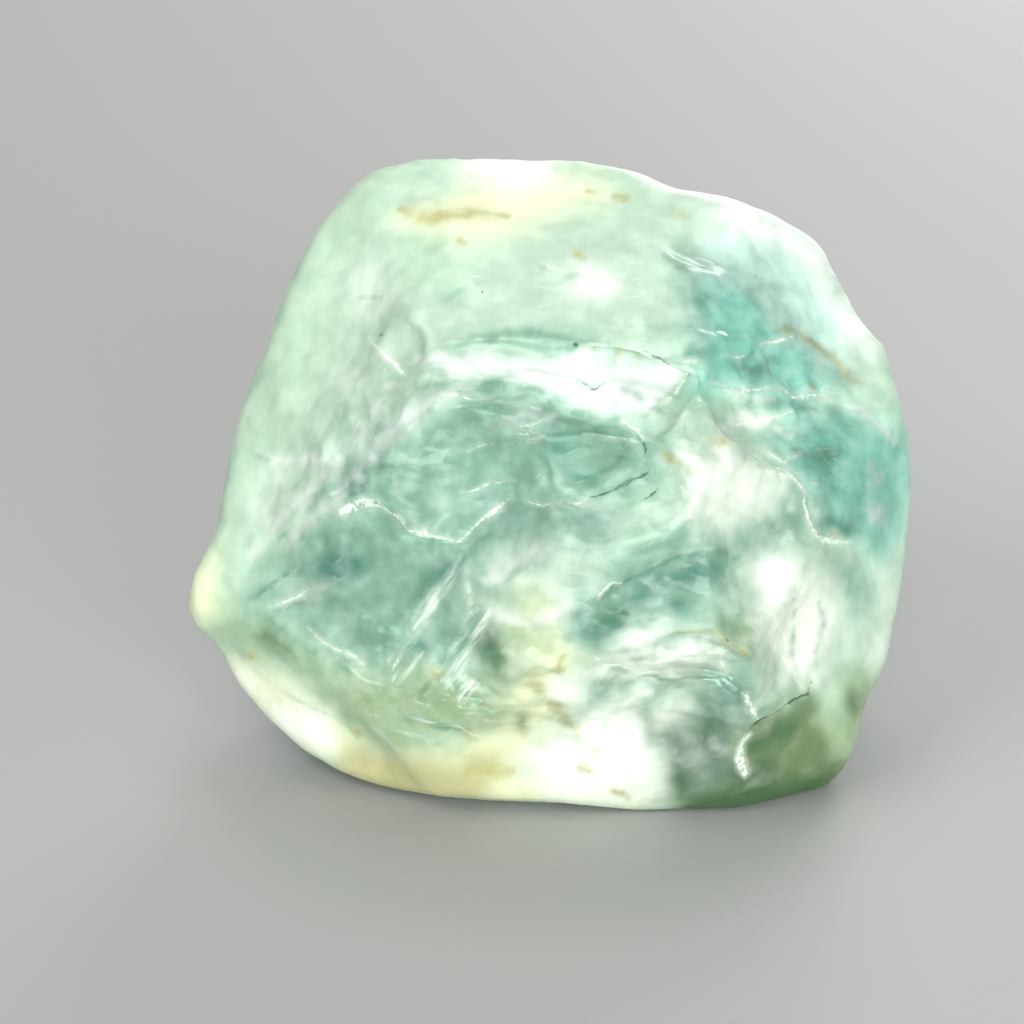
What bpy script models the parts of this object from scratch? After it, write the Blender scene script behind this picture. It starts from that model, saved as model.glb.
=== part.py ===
"""A lump of raw fluorite, 40 mm across, resting on a worn flat.

It is one piece of mineral, shaped here in the order in which it was broken: a rounded blank, then the
cleavage faces struck off it, then the flake scars, steps and open cracks left in those faces, and last
the flat that it rests on.

The blank and its cuts are drawn in millimetres, square to the broad face: u runs across it, v up it
and w out of it. on_the_ground() turns the lump upright and hands it over in metres, LUMP_WIDTH wide.
"""

import math

import bmesh
import bpy
from mathutils import Matrix, Vector, noise
from mathutils.bvhtree import BVHTree

MM = 0.001

# Driving dimensions
LUMP_WIDTH = 40.0
FACE_LEAN = math.radians(26.0)  # the broad face leans back from upright by this much
REST_LEVEL = -14.9  # height of the resting flat, from the middle of the broad face
SHARP_FROM = math.radians(24.0)  # an edge that turns less than this is a worn, soft one

# The widest outline of the lump, square to the broad face.
OUTLINE = [
    (20.0, -1.0), (19.7, 2.6), (18.9, 5.6), (18.0, 8.6), (16.3, 10.9), (15.4, 12.9), (12.9, 14.2),
    (10.3, 15.3), (8.3, 15.7), (6.4, 16.1), (4.9, 16.9), (2.2, 17.6), (-1.0, 18.1), (-4.0, 18.2),
    (-6.4, 18.0), (-9.8, 17.1), (-12.1, 14.9), (-13.7, 12.4), (-15.0, 9.4), (-16.2, 6.2), (-17.3, 3.2),
    (-18.1, -0.4), (-18.7, -3.0), (-19.8, -5.0), (-20.0, -6.9), (-19.3, -8.3), (-18.3, -9.4),
    (-17.6, -11.2), (-15.9, -13.3), (-13.8, -14.8), (-11.6, -15.9), (-9.5, -16.9), (-7.0, -17.3),
    (-3.5, -17.5), (1.0, -17.7), (5.5, -18.2), (9.0, -18.7), (12.0, -18.6), (14.0, -17.7),
    (15.5, -16.9), (16.4, -15.8), (16.9, -14.0), (17.4, -12.2), (18.4, -10.9), (18.9, -8.8),
    (19.6, -5.0),
]
CURVE_STEPS = 2  # points of the smooth outline for each span between two of the above

# The blank's rings from back to front: (w, share of the outline).
RINGS = [
    (-15.5, 0.30), (-13.6, 0.55), (-10.8, 0.76), (-7.2, 0.90), (-3.2, 0.98), (0.0, 1.0), (3.6, 0.985),
    (7.4, 0.92), (11.0, 0.80), (14.2, 0.60), (16.5, 0.34),
]
RING_SHEAR = (0.06, -0.10)  # w gained per millimetre of u and of v, so that the rim isn't flat
LUMPS_HEIGHT = 0.5  # of the blank's low natural swells
LUMPS_PITCH = 7.0

# Cleavage faces: name, a point on the face, and the way it faces.
FACES = [
    ("crown_high", (0.0, 15.0, 3.2), (0.02, 0.80, 0.60)),
    ("crown_low", (-1.5, 9.5, 8.7), (-0.04, 0.58, 0.81)),
    ("shoulder_left", (-11.0, 13.0, 3.6), (-0.56, 0.52, 0.64)),
    ("cheek_left", (-17.4, 3.0, 0.6), (-0.70, 0.27, 0.66)),
    ("flank_left", (-5.2, -3.3, 12.3), (-0.55, -0.19, 0.81)),
    ("skirt_left", (-14.6, -14.3, 0.2), (-0.56, -0.50, 0.66)),
    ("brow_face", (2.0, 0.0, 14.6), (0.03, 0.05, 1.0)),
    ("belly", (3.0, -5.0, 13.9), (0.02, -0.26, 0.96)),
    ("shoulder_right", (7.7, 5.6, 11.4), (0.59, 0.45, 0.67)),
    ("cheek_right", (17.5, 0.0, 5.8), (0.86, 0.06, 0.50)),
    ("jaw_right", (13.3, -7.7, 8.6), (0.80, -0.10, 0.58)),
    ("front_low", (6.0, -10.0, 11.4), (0.03, -0.70, 0.71)),
    ("toe_right", (10.8, -13.1, 8.0), (0.41, -0.65, 0.64)),
    ("back_high", (1.0, 9.6, -9.8), (0.08, 0.56, -0.82)),
    ("back_crown", (-4.0, 15.9, -5.6), (-0.14, 0.86, -0.50)),
    ("back_left", (-9.5, 4.0, -10.2), (-0.52, 0.18, -0.83)),
    ("back_cheek_left", (-15.2, 2.0, -5.0), (-0.86, 0.16, -0.48)),
    ("back_right", (10.5, 3.0, -10.4), (0.54, 0.12, -0.83)),
    ("back_cheek_right", (16.4, 5.0, -4.6), (0.84, 0.26, -0.48)),
    ("back_middle", (1.0, -3.0, -13.6), (0.03, -0.10, -1.0)),
    ("back_low_left", (-9.6, -10.4, -8.6), (-0.46, -0.50, -0.73)),
    ("back_low_right", (10.6, -10.0, -8.6), (0.50, -0.44, -0.75)),
]

FINE_RADIUS = 12.0  # a scar of a larger radius than this is cut with a finer ball
# Scooped flake scars: name, a point over the middle of the scar, the way the scar faces, its half
# length and half width, its depth, and how far its length is turned up from u, in degrees.
SCARS = [
    ("hollow_left", (-6.4, 0.2, 12.0), (-0.10, -0.22, 1.0), 5.8, 4.6, 1.7, 14.0),
    ("hollow_right", (1.9, 1.2, 14.0), (0.08, -0.26, 1.0), 4.6, 3.4, 1.5, -8.0),
    ("hollow_foot", (-1.2, -1.0, 13.0), (-0.16, -0.20, 1.0), 6.4, 3.0, 0.7, 24.0),
    ("flank_scar", (-10.2, -7.2, 9.0), (-0.50, -0.24, 0.82), 8.6, 6.4, 1.15, -36.0),
    ("flank_scar_low", (-6.0, -10.6, 9.0), (-0.30, -0.52, 0.80), 6.2, 4.2, 0.8, -20.0),
    ("bib_scar", (-0.8, -8.2, 12.0), (-0.10, -0.40, 0.90), 4.6, 4.4, 0.8, -30.0),
    ("belly_scar", (6.6, -5.2, 13.5), (0.14, -0.30, 0.95), 6.2, 2.7, 1.0, 24.0),
    ("front_scar", (6.6, -13.4, 8.0), (-0.04, -0.58, 0.80), 4.6, 4.2, 1.4, 0.0),
    ("front_scar_left", (0.2, -14.2, 7.4), (-0.10, -0.70, 0.70), 5.0, 3.2, 0.8, 10.0),
    ("cheek_scar", (14.8, 5.6, 7.0), (0.66, 0.36, 0.66), 6.8, 4.6, 0.8, 58.0),
    ("cheek_scar_low", (12.6, -2.2, 9.0), (0.52, -0.10, 0.85), 5.6, 4.4, 0.9, 30.0),
    ("jaw_scar", (14.6, -8.2, 7.4), (0.74, -0.22, 0.62), 6.0, 4.6, 0.9, 70.0),
    ("crown_scar", (8.0, 12.4, 5.2), (0.26, 0.72, 0.64), 6.0, 3.4, 0.7, -30.0),
    ("crown_scar_left", (-6.6, 12.2, 5.6), (-0.26, 0.66, 0.70), 6.4, 4.4, 0.6, 20.0),
    ("temple_scar", (-12.2, 8.0, 4.6), (-0.66, 0.36, 0.66), 7.2, 4.2, 0.7, 60.0),
    ("cheek_left_scar", (-14.8, 0.2, 3.0), (-0.70, 0.16, 0.70), 6.4, 4.4, 0.6, 66.0),
    ("skirt_scar", (-11.4, -13.6, 3.6), (-0.50, -0.58, 0.64), 4.6, 2.0, 0.5, -30.0),
    ("back_scar", (-4.6, 1.6, -13.0), (-0.26, 0.10, -0.96), 7.8, 6.2, 1.2, 20.0),
    ("back_scar_high", (5.2, 8.6, -10.0), (0.24, 0.48, -0.84), 7.0, 4.8, 1.0, 40.0),
    ("back_scar_low", (5.4, -8.4, -11.0), (0.20, -0.34, -0.92), 7.0, 5.4, 1.1, 30.0),
    ("back_scar_left", (-13.0, -4.0, -6.0), (-0.80, -0.10, -0.60), 6.4, 4.8, 0.9, 60.0),
    ("back_scar_right", (14.2, 0.0, -6.0), (0.80, 0.06, -0.60), 6.6, 5.2, 0.9, -60.0),
    ("back_scar_top", (-7.0, 12.6, -6.6), (-0.36, 0.70, -0.62), 5.6, 4.0, 0.8, 0.0),
    ("rim_scar_left", (-16.6, 8.0, -2.0), (-0.86, 0.40, -0.30), 5.6, 3.6, 0.6, 80.0),
    ("rim_scar_right", (17.6, 9.6, -2.0), (0.80, 0.50, -0.30), 5.0, 3.4, 0.6, -80.0),
]

STEP_REACH = 20.0  # from a step's floor to well outside the lump
# Cleavage steps: name, outline as seen square to the broad face, a point of the face and the depth of
# the floor under it, and the way the floor faces.
STEPS = [
    (
        "ledge",
        [(-6.9, 6.7), (-4.4, 7.1), (-1.0, 7.4), (1.4, 7.1), (3.9, 6.7), (6.4, 5.8), (7.9, 5.5),
         (6.0, 2.4), (1.0, 1.0), (-8.4, 3.0)],
        (0.5, 7.3), 0.8,
        (0.05, 0.66, 0.75),
    ),
    (
        "brow_step",
        [(-9.8, 8.2), (-8.2, 8.7), (-6.9, 8.0), (-6.7, 6.6), (-7.8, 4.9), (-9.2, 3.9), (-12.0, 4.4)],
        (-8.2, 8.2), 0.45,
        (-0.42, 0.36, 0.83),
    ),
    (
        "crest_step",
        [(-11.6, -1.5), (-9.9, -0.9), (-8.5, -1.4), (-7.7, -2.4), (-6.4, -3.2), (-5.0, -3.4),
         (-5.6, -9.6), (-9.4, -10.6), (-14.0, -6.0)],
        (-8.4, -1.6), 0.55,
        (-0.47, -0.24, 0.85),
    ),
    (
        "cheek_step",
        [(7.8, 5.2), (10.4, 4.4), (13.4, 4.2), (16.4, 3.4), (20.4, 2.6), (20.4, -0.4), (16.0, -0.6),
         (13.2, 0.4), (11.6, 0.6), (8.8, 2.4)],
        (13.0, 4.0), 0.6,
        (0.56, 0.30, 0.77),
    ),
    (
        "cheek_step_low",
        [(11.9, 0.1), (13.8, -1.0), (14.1, -2.4), (15.8, -3.3), (20.6, -3.6), (20.6, 3.0), (13.0, 2.0)],
        (13.9, -1.2), 0.5,
        (0.68, 0.16, 0.72),
    ),
    (
        "front_ledge",
        [(3.6, -9.4), (5.2, -8.6), (8.2, -8.3), (9.6, -8.9), (10.4, -9.8), (10.6, -12.6), (3.4, -12.0)],
        (8.0, -8.5), 0.5,
        (0.06, -0.34, 0.94),
    ),
    (
        "toe_step",
        [(10.7, -12.6), (12.2, -12.1), (13.9, -11.4), (17.8, -10.6), (19.0, -19.0), (9.8, -20.0),
         (10.3, -16.2), (10.9, -14.2)],
        (12.4, -12.3), 0.5,
        (0.42, -0.58, 0.70),
    ),
    (
        "crown_step",
        [(-3.0, 11.4), (-1.0, 12.2), (1.6, 11.6), (3.4, 11.2), (5.4, 11.4), (7.0, 10.6), (7.6, 8.4),
         (6.8, 6.6), (1.2, 8.2), (-3.2, 8.6)],
        (2.0, 11.5), 0.2,
        (0.02, 0.62, 0.78),
    ),
    (
        "back_step_high",
        [(-12.0, 13.4), (-6.4, 10.4), (-3.2, 10.8), (0.6, 8.9), (3.8, 9.3), (9.0, 11.8), (13.0, 12.6),
         (13.0, 22.0), (-12.0, 22.0)],
        (0.6, 8.8), 0.6,
        (0.04, 0.70, -0.71),
    ),
    (
        "back_step_left",
        [(-7.4, 9.6), (-8.8, 5.6), (-8.0, 2.8), (-9.4, -0.8), (-8.8, -4.6), (-11.0, -9.4), (-22.0, -8.4),
         (-22.0, 10.0)],
        (-8.6, 2.0), 0.6,
        (-0.66, 0.10, -0.74),
    ),
    (
        "back_step_low",
        [(-7.0, -9.0), (-3.8, -6.6), (-0.4, -7.4), (2.6, -6.4), (6.8, -8.0), (10.4, -7.2), (16.0, -12.0),
         (14.0, -22.0), (-8.0, -22.0)],
        (1.6, -6.7), 0.6,
        (0.06, -0.52, -0.85),
    ),
]


def closed_curve(points, steps):
    """A smooth closed curve through points, with steps points for each span."""
    made = []
    for i in range(len(points)):
        a, b, c, d = (Vector(points[(i + k) % len(points)]) for k in (-1, 0, 1, 2))
        for k in range(steps):
            t = k / steps
            made.append(
                0.5 * (2 * b + (c - a) * t + (2 * a - 5 * b + 4 * c - d) * t**2
                       + (3 * b - a - 3 * c + d) * t**3)
            )
    return made


def new_object(name, bm, collection):
    mesh = bpy.data.meshes.new(name)
    bm.to_mesh(mesh)
    bm.free()
    made = bpy.data.objects.new(name, mesh)
    collection.objects.link(made)
    return made


def new_cutter(name, bm, cutters):
    made = new_object(name, bm, cutters)
    made.hide_render = True
    made.display_type = "WIRE"


def blank():
    """The rounded lump before anything is struck off it: rings of the outline, bridged and closed."""
    bm = bmesh.new()
    curve = closed_curve(OUTLINE, CURVE_STEPS)
    rings = []
    for w, share in RINGS:
        ring = []
        for p in curve:
            u, v = p * share
            ring.append(bm.verts.new((u, v, w + RING_SHEAR[0] * u + RING_SHEAR[1] * v)))
        rings.append([bm.edges.new((a, b)) for a, b in zip(ring, ring[1:] + ring[:1])])
    for back, front in zip(rings, rings[1:]):
        bmesh.ops.bridge_loops(bm, edges=back + front)
    bmesh.ops.holes_fill(bm, edges=rings[0] + rings[-1])
    bmesh.ops.recalc_face_normals(bm, faces=bm.faces)
    for vert in bm.verts:
        vert.co += vert.normal * LUMPS_HEIGHT * noise.noise(vert.co / LUMPS_PITCH)
    return bm


def strike_off(bm, point, facing):
    """Cuts away what lies outside a plane, and closes the cut with one flat face."""
    cut = bmesh.ops.bisect_plane(
        bm, geom=bm.verts[:] + bm.edges[:] + bm.faces[:], dist=1e-4, plane_co=point, plane_no=facing,
        clear_outer=True,
    )
    edges = [e for e in cut["geom_cut"] if isinstance(e, bmesh.types.BMEdge)]
    bmesh.ops.holes_fill(bm, edges=edges)


def surface_point(tree, over, facing):
    """Where the struck lump lies under a point, looking against the way that a scar faces."""
    return tree.ray_cast(Vector(over) + LUMP_WIDTH * facing, -facing)[0]


def scar(name, over, facing, half_length, half_width, depth, turn, tree, cutters):
    """An ellipsoid that leaves a scooped scar with that mouth and depth."""
    facing = Vector(facing).normalized()
    radius = (half_length * half_width + depth**2) / (2 * depth)
    spread = radius / math.sqrt(radius**2 - (radius - depth) ** 2)
    centre = surface_point(tree, over, facing) + (radius - depth) * facing
    across = facing.cross((1.0, 0.0, 0.0)).normalized()
    place = Matrix((across.cross(facing), across, facing)).transposed().to_4x4()
    place = Matrix.Translation(centre) @ place @ Matrix.Rotation(math.radians(turn), 4, "Z")
    place @= Matrix.Diagonal((half_length * spread, half_width * spread, radius, 1.0))
    bm = bmesh.new()
    bmesh.ops.create_icosphere(bm, subdivisions=5 if radius > FINE_RADIUS else 4, radius=1.0)
    bmesh.ops.transform(bm, matrix=place, verts=bm.verts)
    new_cutter(name, bm, cutters)


def step(name, outline, at, depth, facing, tree, cutters):
    """A slab whose underside is the step's floor and whose sides are its risers."""
    bm = bmesh.new()
    facing = Vector(facing).normalized()
    outward = Vector((0.0, 0.0, math.copysign(1.0, facing.z)))
    point = surface_point(tree, (*at, 0.0), outward) - depth * facing
    floor = []
    for u, v in outline:
        drop = (u - point.x) * facing.x + (v - point.y) * facing.y
        floor.append(bm.verts.new((u, v, point.z - drop / facing.z)))
    bottom = bm.faces.new(floor)
    top = bmesh.ops.extrude_face_region(bm, geom=[bottom])
    lifted = [v for v in top["geom"] if isinstance(v, bmesh.types.BMVert)]
    bmesh.ops.translate(bm, verts=lifted, vec=STEP_REACH * outward)
    bmesh.ops.recalc_face_normals(bm, faces=bm.faces)
    new_cutter(name, bm, cutters)


def evaluated_mesh(obj):
    graph = bpy.context.evaluated_depsgraph_get()
    return bpy.data.meshes.new_from_object(obj.evaluated_get(graph), depsgraph=graph)


def on_the_ground(obj):
    """Turns the lump from the broad face's frame to upright, and cuts the flat that it rests on."""
    bm = bmesh.new()
    bm.from_mesh(evaluated_mesh(obj))
    obj.modifiers.clear()
    upright = Matrix.Rotation(math.pi / 2 - FACE_LEAN, 4, "X")
    bmesh.ops.transform(bm, matrix=upright, verts=bm.verts)
    strike_off(bm, (0.0, 0.0, REST_LEVEL), (0.0, 0.0, -1.0))
    low = Vector(min(v.co[i] for v in bm.verts) for i in range(3))
    high = Vector(max(v.co[i] for v in bm.verts) for i in range(3))
    middle = Vector(((low.x + high.x) / 2, (low.y + high.y) / 2, low.z))
    bmesh.ops.translate(bm, verts=bm.verts, vec=-middle)
    size = LUMP_WIDTH * MM / (high.x - low.x)
    bmesh.ops.scale(bm, verts=bm.verts, vec=(size, size, size))
    bm.to_mesh(obj.data)
    bm.free()
    obj.data.shade_smooth()
    obj.data.set_sharp_from_angle(angle=SHARP_FROM)


def fluorite_material():
    made = bpy.data.materials.new("pale_green_fluorite")
    made.use_nodes = True
    shader = made.node_tree.nodes["Principled BSDF"]
    shader.inputs["Base Color"].default_value = (0.62, 0.86, 0.74, 1.0)
    shader.inputs["Roughness"].default_value = 0.25
    shader.inputs["IOR"].default_value = 1.434
    shader.inputs["Transmission Weight"].default_value = 0.9
    return made


def main():
    for obj in list(bpy.data.objects):
        bpy.data.objects.remove(obj)
    scene = bpy.context.scene.collection
    cutters = bpy.data.collections.new("flake_cutters")
    scene.children.link(cutters)

    bm = blank()
    for _, point, facing in FACES:
        strike_off(bm, point, facing)
    tree = BVHTree.FromBMesh(bm)
    lump = new_object("raw_fluorite", bm, scene)
    lump.data.materials.append(fluorite_material())
    for values in SCARS:
        scar(*values, tree, cutters)
    for values in STEPS:
        step(*values, tree, cutters)
    for cutter in cutters.objects:
        cut = lump.modifiers.new(cutter.name, "BOOLEAN")
        cut.operation = "DIFFERENCE"
        cut.object = cutter
    bpy.context.view_layer.update()
    on_the_ground(lump)


main()
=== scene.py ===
"""A lump of raw fluorite on a pale studio table.

The stone is one piece of mineral. Its worn skin is frosted, and its near side is freshly broken, so it is
clear, teal and full of white veils there.
"""

import math

import bmesh
import bpy
import numpy as np
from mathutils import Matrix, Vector, kdtree, noise


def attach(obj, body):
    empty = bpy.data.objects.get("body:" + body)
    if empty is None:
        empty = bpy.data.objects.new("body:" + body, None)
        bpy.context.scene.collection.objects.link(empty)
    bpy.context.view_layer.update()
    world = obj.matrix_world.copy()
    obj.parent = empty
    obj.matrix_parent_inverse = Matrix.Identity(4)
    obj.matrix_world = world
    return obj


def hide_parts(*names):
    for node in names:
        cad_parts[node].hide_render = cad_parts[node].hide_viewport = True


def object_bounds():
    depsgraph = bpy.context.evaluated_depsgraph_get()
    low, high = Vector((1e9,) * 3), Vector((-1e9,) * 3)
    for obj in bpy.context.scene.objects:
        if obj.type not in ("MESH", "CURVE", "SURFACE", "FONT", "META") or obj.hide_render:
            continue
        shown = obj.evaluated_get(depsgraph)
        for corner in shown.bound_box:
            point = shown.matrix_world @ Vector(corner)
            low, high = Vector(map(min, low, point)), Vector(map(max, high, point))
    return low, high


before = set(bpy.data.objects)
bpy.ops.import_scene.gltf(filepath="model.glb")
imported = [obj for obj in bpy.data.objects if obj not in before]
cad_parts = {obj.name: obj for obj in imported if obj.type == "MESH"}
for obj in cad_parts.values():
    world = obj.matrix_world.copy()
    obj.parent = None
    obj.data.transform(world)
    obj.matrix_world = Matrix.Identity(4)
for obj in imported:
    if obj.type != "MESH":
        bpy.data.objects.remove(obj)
cad_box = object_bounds()
scene = bpy.context.scene

# The view. The broad broken face leans back, and the camera looks down on it squarely.
# Places on that face are in millimetres from its middle: u runs across it, v up it and w out of it.
MM = 0.001
FACE_LEAN = math.radians(26.0)
FACE_MIDDLE = Vector((-0.02, 0.60, 14.97)) * MM
ACROSS = Vector((1.0, 0.0, 0.0))
UP = Vector((0.0, math.sin(FACE_LEAN), math.cos(FACE_LEAN)))
OUT = Vector((0.0, -math.cos(FACE_LEAN), math.sin(FACE_LEAN)))
IMAGE_SIZE = 1024
IMAGE_PER_MM = 18.01  # pixels to a millimetre of the face
FACE_IN_IMAGE = (38, -32)  # from the middle of the image to the middle of the face

camera = bpy.data.objects.new("camera", bpy.data.cameras.new("camera"))
scene.collection.objects.link(camera)
scene.camera = camera
camera.data.sensor_width = 36.0
camera.data.lens = 170.0
camera.data.clip_start = 0.01
away = camera.data.lens / camera.data.sensor_width * IMAGE_SIZE / IMAGE_PER_MM * MM
aim = FACE_MIDDLE - MM / IMAGE_PER_MM * (FACE_IN_IMAGE[0] * ACROSS - FACE_IN_IMAGE[1] * UP)
camera.location = aim + away * OUT
camera.rotation_euler = (-OUT).to_track_quat("-Z", "Y").to_euler()

# The stone. Fluorite splits along flat cleavage planes, and where it doesn't, it breaks in shallow
# scoops. The lump is meshed finely enough to hold the small steps, ribs, cracks and worn grain that
# the break and long tumbling left in its surface.
VOXEL = 0.24 * MM
SEED = 11
NEAR_SIDE = (-0.05, 0.25)  # how squarely a point faces out at the edge of the near side, and well inside it
# The other sizes are in millimetres.
HALF_EXTENT = (20.5, 19.0, 17.0)  # of the lump and a little over: across, up and out
PATCH_SWAY = (0.35, 0.12)  # how far the edges of soft patches wander, widely and finely
LINE_SWAY = 0.07
STEP_FOOT = 0.3  # from a step's edge to the foot of its drop
TERRACE_HEIGHT = 0.14
TERRACE_PITCH = 1.1
CRACK_DEPTH = 0.20
CRACK_SHOULDER = 0.15  # how far the ground dips on either side of a crack
MOST_RAISED = 0.3
BASE_KEPT = (0.1, 1.5)  # heights between which the relief comes in, because the base is flat


def fine_copy(node, name, voxel):
    """A finely and evenly meshed copy of a CAD node, with its seams merged."""
    bm = bmesh.new()
    bm.from_mesh(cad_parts[node].data)
    bmesh.ops.remove_doubles(bm, verts=bm.verts, dist=1e-6)
    mesh = bpy.data.meshes.new(name)
    bm.to_mesh(mesh)
    bm.free()
    made = bpy.data.objects.new(name, mesh)
    scene.collection.objects.link(made)
    remesh = made.modifiers.new("fine", "REMESH")
    remesh.mode = "VOXEL"
    remesh.voxel_size = voxel
    graph = bpy.context.evaluated_depsgraph_get()
    made.data = bpy.data.meshes.new_from_object(made.evaluated_get(graph), depsgraph=graph)
    made.data.name = name
    made.modifiers.clear()
    return made


stone = fine_copy("raw_fluorite", "fluorite_lump", VOXEL)
mesh = stone.data
edges = np.empty(2 * len(mesh.edges), np.int32)
mesh.edges.foreach_get("vertices", edges)
edge_from, edge_to = edges.reshape(-1, 2).T
to_face = np.array([ACROSS, UP, OUT]).T


def read(what):
    flat = np.empty(3 * len(mesh.vertices), np.float32)
    mesh.vertices.foreach_get(what, flat)
    return flat.reshape(-1, 3).astype(float)


def evened(values, share, repeats):
    """Moves each point's value by a share of the way to the mean of its neighbours, again and again."""
    count = np.bincount(edges, minlength=len(values))
    for _ in range(repeats):
        total = np.bincount(edge_from, values[edge_to], len(values))
        total += np.bincount(edge_to, values[edge_from], len(values))
        values = values + share * (total / count - values)
    return values


def relax(share, repeats):
    """Draws each point of the mesh towards its neighbours."""
    place = np.stack([evened(axis, share, repeats) for axis in read("co").T], 1)
    mesh.vertices.foreach_set("co", place.ravel())
    mesh.update()


def ramp(value, low, high):
    """Rises smoothly from 0 at low to 1 at high, or falls where high is the smaller."""
    t = np.clip((value - low) / (high - low), 0.0, 1.0)
    return t * t * (3.0 - 2.0 * t)


def survey():
    """Each point's place, normal, place on the face, how squarely it faces out, and 1 on the near side."""
    place, facing = read("co"), read("normal")
    outward = (facing @ to_face)[:, 2]
    return place, facing, (place - np.array(FACE_MIDDLE)) @ to_face / MM, outward, ramp(outward, *NEAR_SIDE)


relax(0.5, 4)
place, facing, uvw, outward, front = survey()


def cloud(pitch, shift=0.0, octaves=1):
    """Smooth noise from -1 to 1 over the stone, with lumps pitch millimetres across."""
    shift = Vector((shift, 2.0 * shift, -shift))
    if octaves == 1:
        return np.array([noise.noise(Vector(p) / pitch + shift) for p in uvw])
    return np.array([noise.fractal(Vector(p) / pitch + shift, 0.8, 2.1, octaves) for p in uvw])


sway = np.stack([cloud(1.8, 3.0), cloud(1.8, 7.0)])
fine_sway = np.stack([cloud(0.9, 61.0), cloud(0.9, 67.0)])


def swayed():
    """u and v of each point, ragged for soft patches, and again only a little ragged for lines."""
    patch = uvw[:, :2].T + PATCH_SWAY[0] * sway + PATCH_SWAY[1] * fine_sway
    return *patch, *(uvw[:, :2].T + LINE_SWAY * fine_sway)


u, v, lu, lv = swayed()


def inside(shapes, soft=0.6, grow=0.0):
    """1 inside any of the closed shapes drawn on the near side, 0 outside, with soft edges."""
    most = np.full(len(u), -1e3)
    for shape in shapes:
        far = np.full(len(u), 1e3)
        within = np.zeros(len(u), bool)
        for (u0, v0), (u1, v1) in zip(shape, shape[1:] + shape[:1]):
            du, dv = u1 - u0, v1 - v0
            t = np.clip(((u - u0) * du + (v - v0) * dv) / (du * du + dv * dv), 0.0, 1.0)
            far = np.minimum(far, np.hypot(u - u0 - t * du, v - v0 - t * dv))
            if dv:
                within ^= ((v0 > v) != (v1 > v)) & (u < u0 + (v - v0) * du / dv)
        most = np.maximum(most, np.where(within, far, -far))
    return ramp(most + grow, -soft, soft) * front


def spot(middle, half, turn=0.0):
    """A closed oval shape."""
    c, s = math.cos(math.radians(turn)), math.sin(math.radians(turn))
    ring = [(half[0] * math.cos(a / 6.0 * math.pi), half[1] * math.sin(a / 6.0 * math.pi)) for a in range(12)]
    return [(middle[0] + x * c - y * s, middle[1] + x * s + y * c) for x, y in ring]


def lines_near(lines, reach=0.7):
    """How far each point is to the left of the nearest of a set of lines, and that line's half width.

    A line is a row of (u, v, half width). The half width falls below 0 past its ends and out of its reach.
    """
    side = np.zeros(len(u))
    nearest = np.full(len(u), 1e3)
    width = np.full(len(u), -1e3)
    for line in lines:
        for index, ((u0, v0, h0), (u1, v1, h1)) in enumerate(zip(line, line[1:])):
            du, dv = u1 - u0, v1 - v0
            length = math.hypot(du, dv)
            t = ((lu - u0) * du + (lv - v0) * dv) / length**2
            past = np.maximum(-t, 0.0) if index == 0 else 0.0
            past = past + (np.maximum(t - 1.0, 0.0) if index == len(line) - 2 else 0.0)
            t = t.clip(0.0, 1.0)
            here = np.hypot(lu - u0 - t * du, lv - v0 - t * dv)
            half = h0 + t * (h1 - h0)
            nearer = here - half < nearest
            nearest = np.where(nearer, here - half, nearest)
            side = np.where(nearer, np.where(du * (lv - v0) - dv * (lu - u0) > 0.0, here, -here), side)
            width = np.where(nearer, half - 2.0 * length * past, width)
    width -= 4.0 * np.maximum(nearest - reach, 0.0)
    return side, np.where(outward > 0.0, width, -2.0).clip(-2.0, 2.0)


# Where the stone is freshly broken (1) and where it is worn and frosted (0).
BREAK = [
    [(-13.5, 1.0), (-9.6, 7.6), (-7.0, 8.6), (0.0, 7.6), (6.0, 7.5), (7.2, 12.2), (12.0, 12.4), (15.0, 7.8),
     (17.8, 4.0), (18.4, -2.0), (15.6, -4.6), (14.5, -11.0), (11.0, -13.2), (10.4, -16.5), (5.0, -16.0),
     (0.0, -13.0), (-4.0, -12.6), (-10.0, -11.0), (-14.6, -8.0), (-14.8, -3.5)],
]
fresh = inside(BREAK, 2.5)
fresh = np.maximum(fresh, 0.8 * ramp(cloud(9.0, 21.0), 0.0, 0.3) * (1.0 - front))

# Smooth hollows within it, where one clean surface parted.
CALM = [
    [(-13.4, -4.6), (-11.0, -3.0), (-7.6, -3.6), (-4.6, -3.4), (-3.0, -2.2), (0.2, -1.8), (4.2, -1.8),
     (9.4, -3.2), (8.0, -4.2), (3.0, -4.6), (0.4, -7.2), (-1.6, -9.8), (-6.0, -10.4), (-9.4, -10.2),
     (-13.0, -8.4)],
    [(-3.0, 8.6), (3.0, 8.4), (6.6, 8.2), (6.4, 12.2), (0.0, 12.0)],
    [(-6.0, 1.2), (-2.4, 3.4), (0.4, 3.6), (3.8, 2.0), (3.6, 0.4), (0.6, -0.4), (-4.0, 0.2)],
    [(7.2, 1.0), (10.0, 0.9), (13.0, -0.2), (13.2, -3.2), (10.0, -3.6), (7.0, -2.6)],
    [(7.4, 11.6), (12.0, 11.6), (14.6, 8.2), (8.4, 7.8)],
    [(14.0, 3.4), (17.6, 3.6), (19.4, -2.0), (15.6, -2.6)],
    [(-9.6, 8.8), (-6.4, 8.8), (-6.4, 5.8), (-9.6, 5.8)],
]
calm = inside(CALM, 1.6)
relax(0.5 - 0.45 * fresh, 20)
place, facing, uvw, outward, front = survey()
u, v, lu, lv = swayed()

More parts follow.
